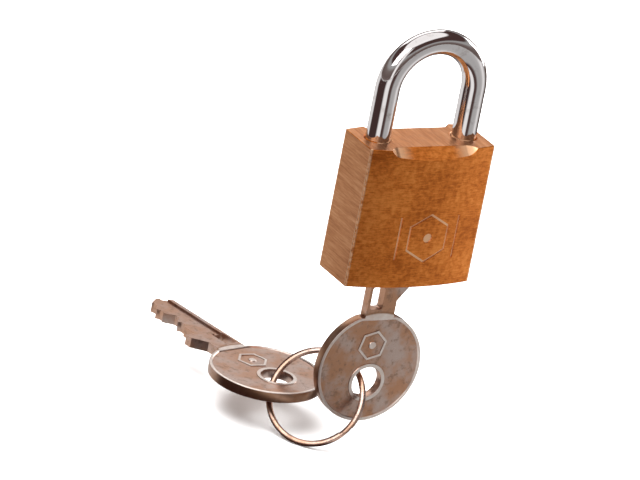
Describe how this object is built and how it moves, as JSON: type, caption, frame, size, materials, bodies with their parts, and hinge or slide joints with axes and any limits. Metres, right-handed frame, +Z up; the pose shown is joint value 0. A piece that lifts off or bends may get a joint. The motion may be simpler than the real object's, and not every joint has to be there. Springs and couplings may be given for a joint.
{
  "type": "padlock",
  "caption": "Small solid-body pin-tumbler padlock with a round hardened bow shackle, its key in the plug and a spare key on a ring.",
  "frame": {"origin": "inside of the shackle's bow, at its highest point, where the padlock hangs", "axes": "+Z up through the shackle, +X from the heel leg to the toe leg, -Y the front face"},
  "size_m": [0.0283, 0.0413, 0.063],
  "materials": {
    "body_brass": "brushed",
    "plug_brass": "brushed",
    "core_brass": "turned",
    "shackle_chrome": "polished",
    "key_nickel": "satin nickel plate",
    "ring_nickel": "bright nickel plate",
    "bolt_steel": "turned",
    "pin_steel": "ground",
    "spring_steel": "drawn wire"
  },
  "bodies": {
    "case": {"body": "body_brass", "shackle_spring": "spring_steel", "heel_pin": "pin_steel", "bolt_spring": "spring_steel", "bolt_bore_plug": "plug_brass", "plug_pin": "pin_steel", "driver_pin_1": "pin_steel", "driver_pin_2": "pin_steel", "driver_pin_3": "pin_steel", "driver_pin_4": "pin_steel", "pin_spring_1": "spring_steel", "pin_spring_2": "spring_steel", "pin_spring_3": "spring_steel", "pin_spring_4": "spring_steel", "chamber_plug_1": "plug_brass", "chamber_plug_2": "plug_brass", "chamber_plug_3": "plug_brass", "chamber_plug_4": "plug_brass"},
    "shackle": {"shackle": "shackle_chrome"},
    "bolt": {"locking_bolt": "bolt_steel"},
    "cylinder": {"plug": "core_brass", "cam": "bolt_steel", "key_pin_1": "core_brass", "key_pin_2": "core_brass", "key_pin_3": "core_brass", "key_pin_4": "core_brass", "key": "key_nickel"},
    "ring": {"key_ring": "ring_nickel"},
    "spare": {"spare_key": "key_nickel"}
  },
  "joints": [
    {"name": "key_turn", "type": "hinge", "parent": "case", "child": "cylinder", "pos_m": [-0.0013, 0, -0.0331], "axis": [0, 0, 1], "range_deg": [0, 90]},
    {"name": "bolt_slide", "type": "slide", "parent": "case", "child": "bolt", "axis": [-1, 0, 0], "range_m": [0, 0.0024], "deforming": ["bolt_spring"]},
    {"name": "shackle_lift", "type": "slide", "parent": "case", "child": "shackle", "axis": [0, 0, 1], "range_m": [0, 0.006], "deforming": ["shackle_spring"]},
    {"name": "ring_swing", "type": "hinge", "parent": "cylinder", "child": "ring", "pos_m": [-0.0013, 0, -0.0495], "axis": [0, 1, 0], "range_deg": [-60, 40]},
    {"name": "spare_key_travel", "type": "hinge", "parent": "ring", "child": "spare", "pos_m": [-0.00657, 0.00325, -0.05328], "axis": [-0.687, -0.481, 0.5446], "range_deg": [-45, 60]}
  ],
  "couplings": [
    {"joint": "bolt_slide", "follows": "key_turn", "m_per_rad": 0.0015303},
    {"joint": "shackle_lift", "follows": "key_turn", "m_per_rad": 0.0038197}
  ]
}
